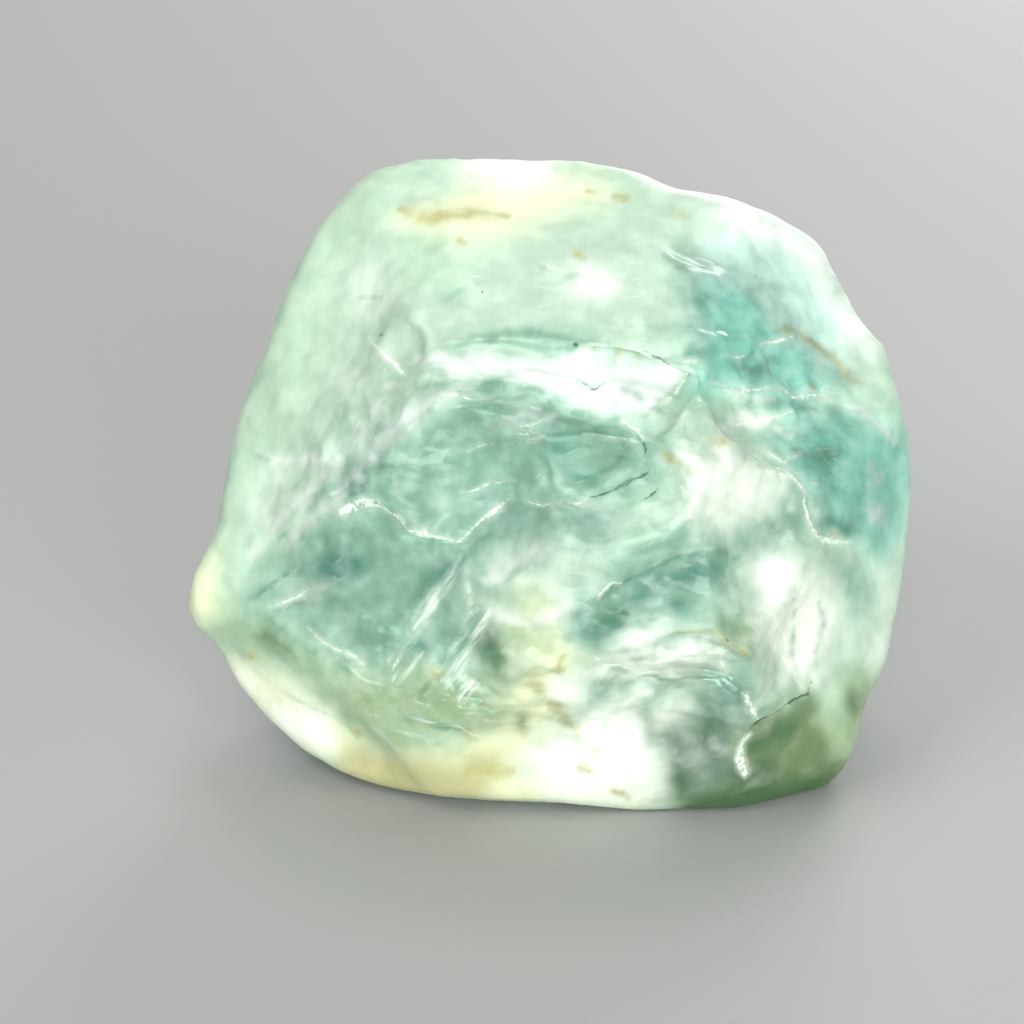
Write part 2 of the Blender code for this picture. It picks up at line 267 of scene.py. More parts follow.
# Steps in the broken face: height, how far the lower ground takes to rise again, and the edge.
# The ground on the right of each edge is the lower.
STEPS = [
    (0.4, 0.9, [(-6.6, 7.2), (-4.5, 7.5), (-2.5, 7.5), (0.0, 7.0), (2.0, 7.1), (3.4, 7.0), (5.0, 6.7),
                (6.2, 6.1), (7.2, 5.8)]),
    (0.35, 1.2, [(-7.6, 5.4), (-6.8, 5.9), (-6.0, 6.0), (-5.2, 6.0), (-4.2, 5.6), (-3.5, 5.3), (-2.0, 5.1),
                 (-1.3, 5.1), (-0.4, 4.7), (0.1, 4.1), (1.0, 4.0), (2.4, 3.7), (3.5, 3.4), (4.6, 3.3),
                 (5.4, 3.4)]),
    (0.22, 0.9, [(5.0, 2.9), (5.4, 3.4), (6.0, 4.3), (6.7, 4.9), (7.1, 5.6)]),
    (0.18, 0.6, [(-6.4, 4.5), (-5.4, 4.6), (-4.4, 4.4), (-3.0, 4.5)]),
    (0.3, 1.0, [(-6.4, 3.0), (-5.2, 3.6), (-4.6, 3.9), (-3.3, 4.2), (-1.6, 3.9)]),
    (0.4, 1.1, [(-12.4, -1.2), (-11.0, -0.4), (-10.4, 0.1), (-9.6, 0.8), (-8.6, 0.9), (-7.7, 0.4)]),
    (0.45, 1.6, [(-11.6, -2.0), (-10.8, -1.3), (-10.0, -1.1), (-9.0, -1.4), (-8.1, -2.0), (-7.7, -2.6),
                 (-7.2, -3.0), (-6.5, -3.2), (-5.3, -3.3), (-4.6, -2.9), (-3.9, -2.4), (-2.9, -1.6),
                 (-2.0, -0.9)]),
    (0.12, 0.5, [(-4.8, -0.8), (-4.2, -0.6), (-3.2, -0.2), (-2.0, -0.1), (-0.6, 0.1)]),
    (0.2, 0.7, [(8.8, 6.3), (10.3, 6.6), (11.3, 7.2), (12.4, 7.4), (13.4, 7.7)]),
    (0.22, 0.7, [(9.2, 4.5), (10.2, 4.8), (11.6, 4.9), (12.4, 5.0), (13.0, 4.6), (14.0, 4.6), (15.4, 4.8)]),
    (0.18, 0.6, [(9.8, 3.0), (11.0, 3.1), (11.8, 3.3), (13.4, 3.8)]),
    (0.22, 0.8, [(11.4, 1.5), (12.1, 1.1), (12.6, 0.9), (13.2, 1.2), (13.7, 1.6)]),
    (0.35, 1.0, [(16.4, -3.5), (15.2, -3.4), (14.4, -3.1), (13.9, -2.4), (13.6, -1.6), (13.6, -0.7),
                 (12.9, 0.2), (11.4, 0.4)]),
    (0.3, 1.4, [(1.9, -7.4), (2.6, -6.2), (3.4, -5.5), (4.6, -5.0), (6.6, -4.1), (8.6, -3.7), (9.9, -3.7)]),
    (0.4, 1.2, [(5.8, -7.9), (7.2, -8.3), (9.1, -8.8), (9.6, -9.2), (10.5, -9.7), (11.2, -9.3)]),
    (0.3, 1.0, [(2.0, -9.6), (3.0, -10.2), (4.5, -10.4), (6.0, -10.7), (8.0, -10.8), (10.0, -10.6)]),
    (0.35, 1.0, [(10.8, -13.5), (11.3, -13.1), (12.0, -12.8), (12.8, -12.3), (13.3, -12.0), (14.0, -11.7),
                 (14.2, -10.9)]),
    (0.25, 0.9, [(11.1, -13.1), (10.9, -12.5), (10.6, -12.0), (10.3, -11.4)]),
    (0.3, 0.9, [(10.5, -16.2), (10.1, -15.2), (10.3, -14.4), (10.8, -13.6)]),
    (0.1, 1.0, [(-18.4, -8.8), (-16.8, -9.7), (-15.2, -11.2), (-13.6, -12.1), (-12.0, -12.8), (-10.6, -13.5),
                (-9.0, -13.6)]),
    (0.3, 0.9, [(-12.0, -9.5), (-11.2, -10.2), (-10.1, -11.0), (-8.6, -11.4)]),
    (0.3, 0.9, [(-8.4, -12.7), (-6.0, -13.3), (-5.0, -13.4), (-4.3, -13.9), (-3.5, -14.1), (-2.4, -13.9)]),
    (0.35, 1.0, [(-13.0, -5.2), (-14.5, -5.4), (-15.5, -6.1), (-16.7, -6.9)]),
    (0.2, 0.8, [(-15.5, -7.1), (-14.5, -6.9), (-13.8, -6.6), (-13.0, -6.1)]),
    (0.2, 0.8, [(-13.4, -8.3), (-12.5, -8.9), (-11.6, -9.4), (-10.3, -10.2)]),
    (0.25, 0.9, [(-15.6, -3.4), (-14.4, -2.7), (-13.3, -2.0)]),
    (0.15, 0.7, [(-16.8, 1.8), (-15.5, 1.2), (-14.2, 1.0)]),
    (0.2, 0.8, [(-10.8, 10.1), (-9.8, 10.1), (-8.8, 9.9)]),
    (0.2, 0.8, [(-6.4, 9.4), (-5.3, 10.1), (-4.7, 10.6), (-3.4, 10.8)]),
    (0.2, 0.8, [(-1.2, 12.3), (-0.2, 11.4), (0.8, 11.1), (2.7, 11.3)]),
    (0.2, 0.8, [(5.4, 13.2), (6.2, 12.2), (7.0, 11.7), (8.4, 11.3)]),
    (0.18, 0.6, [(2.4, 8.6), (4.5, 8.4), (6.6, 8.2)]),
    (0.2, 0.7, [(1.2, 5.4), (1.8, 4.9), (2.2, 4.6)]),
    (0.2, 0.7, [(3.5, 5.9), (3.2, 5.3), (2.7, 4.9), (2.2, 4.6)]),
]


def step_sides(line):
    """Distance from a step's edge, whether the point is on the lower side, and 1 fading to 0 at the ends."""
    far = np.full(len(u), 1e3)
    lower = np.zeros(len(u), bool)
    along = np.zeros(len(u))
    done = 0.0
    for (u0, v0), (u1, v1) in zip(line, line[1:]):
        du, dv = u1 - u0, v1 - v0
        length = math.hypot(du, dv)
        t = np.clip(((lu - u0) * du + (lv - v0) * dv) / length**2, 0.0, 1.0)
        here = np.hypot(lu - u0 - t * du, lv - v0 - t * dv)
        nearer = here < far
        far = np.where(nearer, here, far)
        lower = np.where(nearer, du * (lv - v0) - dv * (lu - u0) < 0.0, lower)
        along = np.where(nearer, done + t * length, along)
        done += length
    return far, lower, ramp(np.minimum(along, done - along), 0.0, min(0.35 * done, 2.0))


def tilted_blocks(count, tilt, drop, stretch, raggedness, seed):
    """Flat blocks over the whole stone: each tilts its own way, so their edges are low steps."""
    rng = np.random.default_rng(seed)
    spots = rng.uniform(-1.0, 1.0, (count, 3)) * HALF_EXTENT
    tilts = rng.normal(0.0, tilt, (count, 3))
    drops = rng.uniform(0.0, drop, count)
    tree = kdtree.KDTree(count)
    for index, at in enumerate(spots):
        tree.insert(Vector(at * stretch), index)
    tree.balance()
    ragged = uvw + raggedness * np.stack([sway[0], sway[1], sway[0] - sway[1]], 1)
    nearest = np.array([tree.find(Vector(p))[1] for p in ragged * stretch])
    tilted = ((uvw - spots[nearest]) * tilts[nearest]).sum(1)
    return 3.0 * tilt * np.tanh(tilted / (3.0 * tilt)) - drops[nearest]


big_blocks = tilted_blocks(260, 0.05, 0.08, np.array((0.7, 1.0, 1.0)), 0.5, SEED)
small_blocks = tilted_blocks(5200, 0.10, 0.05, np.array((0.5, 1.0, 1.0)), 0.3, SEED + 1)
# The blocks show most on the broad faces, near and far, and in the jagged parts of the break.
flat_on = 0.3 + 0.7 * ramp(np.abs(outward), 0.2, 0.6)
jagged = fresh * (1.0 - 0.75 * calm)
relief = flat_on * ((0.25 + 0.75 * jagged) * big_blocks + (0.05 + 0.95 * jagged) * small_blocks)
# Low terraces where the cleavage ran out in a stack of thin sheets.
run = (0.35 * uvw[:, 0] + uvw[:, 1] + 0.8 * cloud(3.0, 5.0)) / TERRACE_PITCH
relief -= TERRACE_HEIGHT * jagged * ramp(cloud(4.0, 31.0), -0.05, 0.25) * (run - np.floor(run))
# The worn skin is dimpled, and grainy where it is frosted.
relief += (1.0 - 0.75 * fresh) * (0.05 * cloud(2.6, 41.0, 3) + 0.015 * cloud(0.7, 43.0))
relief += 0.16 * cloud(5.0, 47.0, 3)

step_rise = np.zeros(len(u))  # distance into the higher ground of the nearest step, less than 0 on the lower
step_weight = np.zeros(len(u))
step_far = np.full(len(u), 1e3)
for height, reach, line in STEPS:
    far, lower, ends = step_sides(line)
    ends = ends * front
    relief -= height * ends * np.where(lower, ramp(far, 0.0, STEP_FOOT) * np.exp(-far / reach), 0.0)
    nearer = far < step_far
    step_rise = np.where(nearer, np.where(lower, -far, far), step_rise)
    step_weight = np.where(nearer, min(1.0, height / 0.3) * ends * ramp(far, 1.0, 0.5), step_weight)
    step_far = np.minimum(far, step_far)

# Open cracks, each a row of (u, v, half width).
CRACKS = [
    [(2.1, -1.0, 0.03), (2.9, -0.75, 0.09), (3.2, -0.67, 0.0), (3.5, -0.45, 0.11), (3.9, -0.15, 0.11),
     (4.2, 0.0, 0.02), (4.6, 0.1, 0.1), (5.1, 0.35, 0.03)],
    [(4.6, -1.1, 0.0), (5.1, -0.8, 0.04), (5.6, -0.4, 0.0)],
    [(4.5, 2.5, 0.0), (4.7, 2.0, 0.05), (4.8, 1.5, 0.05), (4.8, 0.9, 0.0)],
    [(10.8, -13.5, 0.02), (11.3, -13.1, 0.09), (12.0, -12.8, 0.02), (12.8, -12.3, 0.02), (13.3, -12.0, 0.09),
     (14.0, -11.7, 0.03), (14.2, -11.0, 0.0)],
    [(1.5, 5.4, -0.02), (2.2, 4.8, 0.03), (3.3, 5.6, -0.02)],
]
crack_side, crack_width = lines_near(CRACKS)
beside_crack = np.maximum(np.abs(crack_side) - crack_width, 0.0)
relief -= CRACK_DEPTH * np.exp(-(beside_crack / CRACK_SHOULDER) ** 2)

relief = evened(relief, 0.5, 2)
relief = np.minimum(relief - relief.mean(), MOST_RAISED) * ramp(place[:, 2] / MM, *BASE_KEPT)
place += facing * relief[:, None] * MM
low, high = (np.array(c) for c in cad_box)
mesh.vertices.foreach_set("co", np.clip(place, low, high).ravel())
mesh.update()
mesh.shade_smooth()

# Colour zones of the near side, drawn round their edges.
TEAL = [
    [(-7.0, 2.4), (-5.5, 3.2), (-4.2, 4.5), (-2.2, 4.3), (-0.3, 4.1), (1.8, 3.6), (3.6, 2.6), (4.7, 1.4),
     (4.6, 0.2), (2.0, -1.0), (-1.4, -0.6), (-3.4, -1.2), (-3.9, -0.2), (-6.6, -0.2), (-6.3, -2.0),
     (-8.4, -1.9), (-11.4, -1.2), (-11.0, 0.3), (-9.0, 1.2)],
    [(-11.2, -2.6), (-9.8, -2.1), (-7.5, -2.6), (-6.2, -3.2), (-4.6, -3.0), (-3.7, -2.8), (-5.0, -4.2),
     (-5.6, -5.6), (-7.0, -6.8), (-7.8, -8.4), (-9.3, -9.3), (-11.5, -8.8), (-14.4, -7.4), (-13.5, -6.3),
     (-16.2, -6.6), (-14.6, -4.8)],
    [(4.2, -5.2), (6.5, -4.0), (9.2, -4.0), (8.7, -5.2), (7.6, -6.6), (6.0, -7.2), (3.6, -7.9), (2.2, -8.2),
     (2.6, -6.8)],
    spot((-5.5, -8.0), (0.4, 1.2), 15.0), spot((16.3, -5.9), (0.5, 0.8)),
    spot((2.6, -11.7), (0.4, 0.8), -30.0),
]
AQUA = [
    [(8.3, 10.4), (9.8, 10.5), (11.2, 9.4), (12.4, 7.6), (14.0, 6.8), (14.8, 5.6), (13.8, 4.0), (12.0, 4.2),
     (11.2, 5.4), (8.2, 5.0), (8.6, 6.6)],
    [(12.2, 2.2), (14.0, 3.4), (15.6, 4.0), (17.0, 3.0), (19.4, 2.4), (19.8, 0.2), (19.2, -2.5),
     (18.0, -4.0), (15.8, -2.6), (14.6, -0.8), (13.2, 0.6)],
]
POCKET = [
    [(0.3, 3.1), (2.4, 3.1), (3.6, 2.3), (4.2, 1.4), (3.7, 0.5), (2.2, -0.2), (0.6, 0.6)],
    spot((3.4, -7.2), (1.3, 0.6), 25.0),
]
RIM = [
    [(9.0, 15.2), (11.2, 15.4), (13.6, 13.8), (15.8, 12.6), (15.2, 10.4), (14.0, 11.4), (12.4, 12.6),
     (9.8, 13.4)],
    [(15.2, 9.8), (16.6, 9.8), (18.2, 8.8), (17.6, 7.2), (15.6, 7.8)],
]
# Pale zones. The spot at (-15.2, -0.9) is painted light: it lifts a patch that is darker because it curves
# away from the lamps.
PALE = [
    spot((-9.8, 10.2), (1.0, 1.6)), spot((-10.9, 6.2), (0.3, 1.2)), spot((-15.2, -0.9), (0.5, 1.5), -20.0),
    [(16.8, -3.8), (18.6, -3.6), (19.4, -7.0), (18.6, -11.0), (16.8, -10.0)],
]
GREY = [
    [(4.6, -12.6), (6.6, -12.2), (9.6, -11.4), (10.5, -12.4), (10.1, -14.4), (10.2, -16.4), (8.6, -17.4),
     (6.0, -17.2), (5.6, -15.0), (4.8, -13.6)],
]
# Painted glow: light shining out through the stone near its upper right rim.
GLOW = [
    [(8.8, 13.0), (11.6, 12.8), (13.8, 10.9), (15.9, 8.8), (15.4, 7.0), (13.6, 7.8), (12.4, 9.2),
     (10.9, 10.5), (9.0, 11.4)],
]
HONEY = [
    spot((-5.6, 14.6), (2.2, 0.2)),
    [(-11.8, -14.2), (-9.0, -15.0), (-5.6, -15.0), (-2.6, -14.8), (-2.4, -16.2), (-4.6, -18.6),
     (-9.0, -18.6), (-11.6, -16.4)],
]
SHADOW = [
    [(-1.2, 3.2), (0.6, 3.0), (1.4, 1.6), (2.2, 0.2), (1.0, -0.4), (-0.4, 0.6), (-1.2, 2.0)],
    spot((-3.6, -0.9), (0.9, 0.5)),
]
PALE_TEAL = [
    [(6.2, 12.4), (9.0, 12.7), (11.8, 12.5), (14.0, 10.4), (15.0, 7.6), (16.2, 5.6), (8.0, 5.0), (7.0, 10.0)],
    [(3.8, -1.4), (3.2, -3.6), (1.8, -3.7), (-0.2, -3.0), (-3.5, -3.4), (-6.0, -2.0), (-3.0, -0.6)],
    [(4.2, -3.9), (6.2, -3.2), (9.6, -3.7), (12.2, -1.2), (13.6, -1.0), (13.6, -3.4), (11.0, -4.0)],
    [(8.2, -10.4), (10.6, -10.6), (11.0, -12.0), (10.2, -12.8), (8.0, -12.2)],
    spot((6.3, -7.0), (1.0, 0.4), 10.0), spot((1.8, -7.4), (0.7, 0.7)), spot((-2.8, 7.6), (0.7, 0.25)),
    spot((0.4, 7.6), (1.6, 0.35)), spot((6.2, 6.4), (0.8, 0.25), -20.0),
]
DEEP = [
    spot((2.7, -7.9), (0.9, 0.35)), spot((1.5, -7.0), (0.2, 0.15)), spot((8.4, 9.5), (0.3, 0.2)),
    spot((6.4, -6.9), (0.4, 0.2), 10.0), spot((14.7, 1.2), (0.9, 0.5), 20.0),
    spot((15.4, -2.5), (0.7, 0.3), -15.0), spot((-6.1, -5.0), (0.5, 0.6), 40.0),
    spot((-7.0, -9.0), (0.5, 0.4)), spot((-10.6, -0.6), (0.5, 0.3), 30.0), spot((11.6, 6.0), (0.3, 0.2)),
    spot((-11.3, -4.6), (1.3, 0.8)), spot((7.6, -5.1), (1.2, 0.5), 25.0), spot((5.4, -5.9), (1.4, 0.4), 28.0),
    spot((7.4, 6.6), (0.2, 0.15)),
]
TREAD = [
    [(-4.4, 6.5), (-2.4, 6.7), (1.4, 6.7), (4.4, 6.2), (7.2, 5.6), (6.0, 4.4), (5.1, 3.4), (3.6, 3.5),
     (2.2, 3.8), (0.7, 4.4), (-0.5, 4.9), (-1.9, 5.5), (-3.4, 5.9)],
]
WHITE = [
    [(7.4, 0.7), (9.2, 1.5), (10.0, 0.6), (11.8, 0.3), (11.4, -0.5), (10.2, -1.6), (9.0, -2.6), (8.0, -2.0),
     (7.8, -0.5)],
    [(11.2, -4.8), (12.4, -4.3), (13.3, -5.2), (14.8, -5.6), (15.4, -7.0), (15.2, -8.4), (14.0, -10.4),
     (12.9, -10.4), (12.0, -9.0), (11.6, -7.0)],
    [(2.0, -10.4), (3.4, -9.6), (3.9, -8.8), (5.6, -8.6), (7.2, -9.0), (9.0, -9.2), (8.5, -9.8), (6.6, -9.9),
     (6.0, -10.6)],
    [(0.0, -14.0), (1.6, -13.4), (2.4, -12.2), (4.0, -11.8), (4.4, -13.6), (5.3, -15.0), (5.5, -17.0),
     (3.0, -17.6), (0.2, -17.0), (-0.6, -14.8)],
    [(-15.6, -12.4), (-14.0, -12.5), (-12.4, -13.6), (-12.2, -14.6), (-13.6, -14.6), (-15.3, -13.6)],
    [(-4.8, 17.4), (-3.0, 17.9), (-0.2, 17.6), (-0.4, 16.9), (-1.8, 16.3)],
    spot((2.4, 10.5), (0.8, 0.05), -8.0), spot((0.9, -11.3), (0.5, 0.7)), spot((6.4, -12.7), (0.7, 0.4)),
    spot((-16.9, -11.4), (0.4, 0.6), 40.0),
]
MINT = [
    [(-8.0, 9.0), (-5.0, 9.6), (-2.0, 12.4), (4.6, 14.4), (7.4, 8.4), (5.6, 7.0), (0.0, 7.6), (-7.0, 5.6),
     (-9.0, 7.0)],
    [(6.0, 15.4), (11.0, 15.0), (16.0, 12.0), (18.4, 8.0), (18.6, 5.0), (15.6, 6.4), (14.0, 11.2),
     (8.0, 13.6)],
    [(6.4, 3.0), (9.2, 3.8), (12.0, 1.4), (13.4, -1.0), (9.6, -3.0), (5.6, -2.6), (5.4, 0.0)],
    [(10.4, -4.6), (16.0, -4.6), (18.2, -8.0), (16.0, -11.0), (13.0, -11.6), (10.6, -7.4)],
    [(-1.0, -3.0), (3.6, -4.2), (2.0, -6.8), (-0.2, -8.2), (-4.0, -6.0)],
    [(-9.2, 6.8), (-8.0, 5.8), (-7.2, 4.2), (-8.4, 2.6), (-10.8, 1.6), (-9.4, 4.0)],
]
CREAM = [
    [(-8.4, 14.2), (-6.0, 15.3), (-3.5, 16.6), (0.5, 16.9), (3.2, 16.0), (3.0, 15.2), (0.2, 14.6),
     (-1.6, 13.6), (-4.8, 12.9)],
    [(-1.2, -5.6), (0.2, -6.4), (1.0, -8.4), (2.0, -9.2), (1.4, -12.6), (-0.4, -14.0), (-1.0, -15.6),
     (-5.6, -15.4), (-3.2, -12.8), (-1.6, -9.6), (-2.4, -7.8)],
    [(-20.2, -4.6), (-18.2, -4.2), (-18.2, -7.6), (-19.8, -8.2)],
    [(-18.6, -9.6), (-16.4, -10.0), (-12.0, -12.8), (-9.6, -15.0), (-13.0, -15.4), (-16.6, -13.6)],
    [(-9.0, -15.0), (-4.0, -15.4), (0.4, -17.0), (5.0, -17.6), (4.0, -19.5), (-9.0, -18.0)],
]
OLIVE = [
    [(-17.5, -6.5), (-16.0, -6.8), (-14.4, -7.6), (-12.2, -8.8), (-9.2, -9.6), (-7.6, -8.8), (-4.6, -10.4),
     (-2.0, -10.0), (-2.8, -12.8), (-4.4, -13.8), (-8.4, -14.6), (-11.0, -13.0), (-12.4, -11.2),
     (-14.4, -10.0), (-16.6, -9.4), (-18.2, -8.0)],
    [(6.6, -17.5), (7.4, -14.0), (9.0, -12.8), (11.2, -12.9), (13.9, -11.6), (14.6, -13.2), (18.2, -10.8),
     (17.2, -14.0), (15.4, -17.4), (10.0, -19.5)],
    [(-3.2, -7.4), (-2.2, -8.4), (-1.4, -9.6), (-3.0, -10.6), (-4.3, -9.8)],
    spot((9.8, -8.2), (1.8, 0.9), -20.0), spot((2.0, -8.2), (0.6, 0.6)), spot((-1.8, -8.9), (1.0, 1.9)),
    spot((16.8, -12.0), (1.2, 1.6)), spot((-5.8, -3.0), (1.3, 0.3)),
]
TOE = [
    [(10.9, -13.3), (12.6, -12.5), (14.1, -11.6), (14.6, -13.2), (15.4, -15.2), (16.4, -15.6), (14.7, -18.8),
     (9.0, -19.5), (9.2, -17.0), (10.7, -15.6), (10.5, -14.2)],
]
MOSS = [
    [(7.4, -17.2), (10.6, -16.2), (12.4, -16.6), (16.2, -15.8), (14.7, -17.8), (12.2, -19.0), (9.0, -19.5),
     (6.6, -18.6)],
    spot((12.6, -13.6), (0.9, 0.5), 30.0), spot((11.4, -14.4), (0.4, 0.8), -30.0),
    [(-3.6, -7.8), (-2.8, -7.9), (-2.6, -8.8), (-2.3, -9.6), (-3.0, -10.2), (-3.6, -9.6), (-4.0, -8.8)],
    spot((-1.5, -13.1), (0.25, 0.4)), spot((-15.0, -8.8), (0.9, 0.1), -30.0), spot((7.0, -16.4), (0.5, 0.9)),
    spot((8.4, -13.6), (0.4, 0.4)), spot((11.2, -16.0), (1.3, 0.8)), spot((16.5, -12.2), (0.3, 0.7)),
]
# Lines of the near side, each a row of (u, v, half width).
FEATHERS = [
    [(-5.1, -3.9, 0.0), (-5.3, -4.9, 0.12), (-5.8, -5.8, 0.2), (-6.4, -6.6, 0.34), (-6.9, -7.4, 0.3),
     (-7.5, -8.3, 0.1), (-8.1, -9.2, 0.0), (-8.7, -10.0, 0.05)],
    [(-7.0, -9.2, 0.05), (-7.8, -10.1, 0.15), (-8.5, -11.0, 0.05)],
    [(-3.4, -7.0, 0.1), (-3.9, -7.8, 0.28), (-4.4, -8.6, 0.35), (-4.9, -9.3, 0.45), (-5.3, -10.2, 0.3),
     (-5.7, -11.2, 0.1)],
    [(-4.1, -10.9, 0.1), (-4.5, -11.4, 0.25), (-4.9, -12.0, 0.1)],
    [(-4.6, -5.6, 0.0), (-4.3, -7.0, 0.1), (-4.9, -8.2, 0.0)],
]
VEILS = [
    [(-3.8, -5.5, 0.2), (-3.1, -5.1, 0.4), (-2.5, -4.6, 0.4), (-1.8, -4.2, 0.3), (-0.9, -3.8, 0.35),
     (0.2, -3.4, 0.1)],
    [(-3.4, -6.8, 0.05), (-2.6, -7.3, 0.18), (-1.2, -7.7, 0.15), (0.0, -7.3, 0.25), (0.9, -6.6, 0.25),
     (1.1, -5.8, 0.1)],
    [(-14.6, -3.6, 0.1), (-12.0, -1.4, 0.3), (-9.6, 1.2, 0.35), (-7.4, 3.4, 0.4), (-5.2, 4.9, 0.2)],
    [(-16.6, -4.2, 0.1), (-14.0, -1.6, 0.25), (-11.4, 1.0, 0.3), (-9.6, 3.2, 0.3), (-8.6, 5.2, 0.1)],
    [(-14.8, -7.0, 0.1), (-13.0, -6.2, 0.3), (-11.6, -5.4, 0.1)],
    [(-3.4, 2.8, 0.1), (-1.2, 3.4, 0.25), (0.2, 3.6, 0.05)],
    [(8.8, 2.6, 0.2), (10.4, 3.4, 0.3), (12.0, 3.2, 0.2), (13.2, 2.4, 0.0)],
    [(8.4, 5.2, 0.1), (10.6, 4.4, 0.2), (12.2, 4.4, 0.0)],
    [(12.2, 4.9, 0.05), (14.4, 4.7, 0.05), (17.0, 4.0, 0.2), (19.0, 2.0, 0.2)],
    [(17.4, 1.0, 0.0), (17.8, 0.2, 0.3), (17.5, -0.7, 0.0)],
    [(17.1, -1.6, 0.0), (17.9, -1.9, 0.4), (18.4, -2.6, 0.0)],
    [(-7.4, 6.4, 0.1), (-5.6, 6.3, 0.5), (-3.4, 6.2, 0.5)],
    [(-15.4, 1.0, 0.1), (-13.0, 1.2, 0.25), (-11.0, 0.6, 0.1)],
]
VEINS = [
    [(-9.9, 7.7, 0.03), (-9.0, 6.7, 0.09), (-8.3, 6.1, 0.14), (-7.8, 5.4, 0.04)],
    [(-11.5, -1.9, 0.14), (-10.9, -1.6, 0.22), (-10.0, -1.3, 0.26), (-9.4, -1.3, 0.26), (-8.6, -1.8, 0.14),
     (-8.1, -2.1, 0.24), (-7.6, -2.7, 0.14), (-7.0, -2.9, 0.24), (-6.3, -3.1, 0.1), (-5.4, -3.3, 0.05)],
    [(-7.4, -2.7, 0.03), (-7.0, -2.7, 0.1), (-6.5, -2.7, 0.03)],
    [(-5.2, -3.3, 0.03), (-4.6, -2.9, 0.06), (-3.9, -2.4, 0.05), (-3.3, -2.0, 0.09), (-2.9, -1.6, 0.1),
     (-2.0, -0.9, 0.03)],
    [(-4.8, -0.8, 0.0), (-4.2, -0.6, 0.04), (-3.2, -0.2, 0.04), (-1.9, -0.1, 0.0)],
    [(-4.6, 1.4, 0.0), (-3.6, 1.8, 0.04), (-3.0, 1.9, 0.0)],
    [(-1.8, 2.7, 0.0), (-1.2, 2.8, 0.04), (0.0, 3.5, 0.0)],
    [(-1.6, 3.9, 0.0), (-1.0, 3.85, 0.05), (-0.5, 3.8, 0.0)],
    [(-2.0, 2.4, 0.0), (-1.5, 2.2, 0.04), (-1.0, 2.6, 0.0)],
    [(-1.4, 1.9, 0.0), (-0.9, 2.1, 0.03), (-0.4, 2.3, 0.0)],
    [(1.6, 2.35, 0.0), (2.7, 2.2, 0.03), (4.4, 1.95, 0.0)],
    [(-0.9, 0.0, 0.0), (-0.6, 0.25, 0.03), (-0.3, 0.5, 0.0)],
    [(-1.2, -1.2, 0.0), (-0.3, -1.5, 0.05), (0.1, -1.3, 0.0)],
    [(0.9, -1.2, 0.0), (1.3, -1.3, 0.05), (1.9, -1.1, 0.0)],
    [(3.6, 3.2, 0.02), (4.6, 2.6, 0.08), (5.0, 2.1, 0.0)],
    [(-6.0, 4.6, 0.0), (-5.2, 4.6, 0.08), (-4.4, 4.4, 0.06), (-3.0, 4.5, 0.0)],
    [(6.0, 4.2, 0.0), (6.7, 4.9, 0.06), (7.1, 5.6, 0.02)], [(7.0, 6.3, 0.02), (7.8, 6.3, 0.05)],
    [(6.6, -0.4, 0.0), (6.9, -0.8, 0.05), (7.4, -0.9, 0.0)],
    [(11.3, 7.4, 0.0), (12.4, 7.5, 0.1), (13.2, 7.8, 0.02)],
    [(9.0, 6.5, 0.0), (10.3, 6.6, 0.07), (10.8, 6.8, 0.0)],
    [(9.3, 4.6, 0.0), (10.2, 4.8, 0.1), (11.0, 4.8, 0.08), (11.7, 4.9, 0.0)],
    [(10.1, 4.3, 0.0), (10.6, 4.4, 0.04)],
    [(12.4, 5.0, 0.0), (13.0, 4.6, 0.07), (14.0, 4.6, 0.07), (15.3, 4.8, 0.0)],
    [(10.0, 3.0, 0.0), (11.0, 3.1, 0.12), (11.8, 3.3, 0.1), (13.2, 3.7, 0.0)],
    [(11.6, 1.4, 0.0), (12.1, 1.1, 0.08), (12.6, 0.9, 0.06), (13.6, 1.5, 0.0)],
    [(11.5, 0.4, 0.0), (12.6, 0.2, 0.08), (13.1, -0.1, 0.06), (13.6, -0.7, 0.1), (13.5, -1.4, 0.08),
     (13.8, -2.2, 0.12), (14.2, -2.8, 0.14), (14.7, -3.3, 0.22), (15.3, -3.4, 0.15), (16.4, -3.4, 0.0)],
    [(2.4, -6.2, 0.05), (2.9, -5.8, 0.12), (3.1, -5.5, 0.08), (3.7, -5.5, 0.05)],
    [(10.4, -11.4, 0.14), (10.6, -12.0, 0.12), (10.9, -12.5, 0.1), (11.1, -13.0, 0.02)],
    [(10.8, -13.7, 0.05), (10.4, -14.4, 0.14), (10.3, -15.2, 0.26), (10.5, -15.9, 0.2), (10.5, -16.3, 0.0)],
    [(-15.6, -7.0, 0.0), (-14.5, -6.7, 0.06), (-13.8, -6.4, 0.07), (-13.0, -5.9, 0.0)],
    [(-13.3, -8.1, 0.0), (-12.5, -8.7, 0.05), (-11.8, -9.2, 0.02), (-10.8, -9.6, 0.07), (-10.2, -10.1, 0.0)],
    [(12.2, -9.0, 0.0), (13.2, -10.3, 0.08), (13.8, -11.5, 0.0)], [(9.0, -10.1, 0.08), (9.3, -10.7, 0.02)],
    [(4.2, -11.6, 0.12), (4.6, -11.5, 0.06), (5.4, -11.3, 0.0)], [(2.3, -9.5, 0.15), (2.5, -9.6, 0.1)],
    [(2.8, -10.0, 0.1), (4.0, -10.15, 0.22), (5.0, -10.25, 0.2), (6.0, -10.6, 0.0)],
]
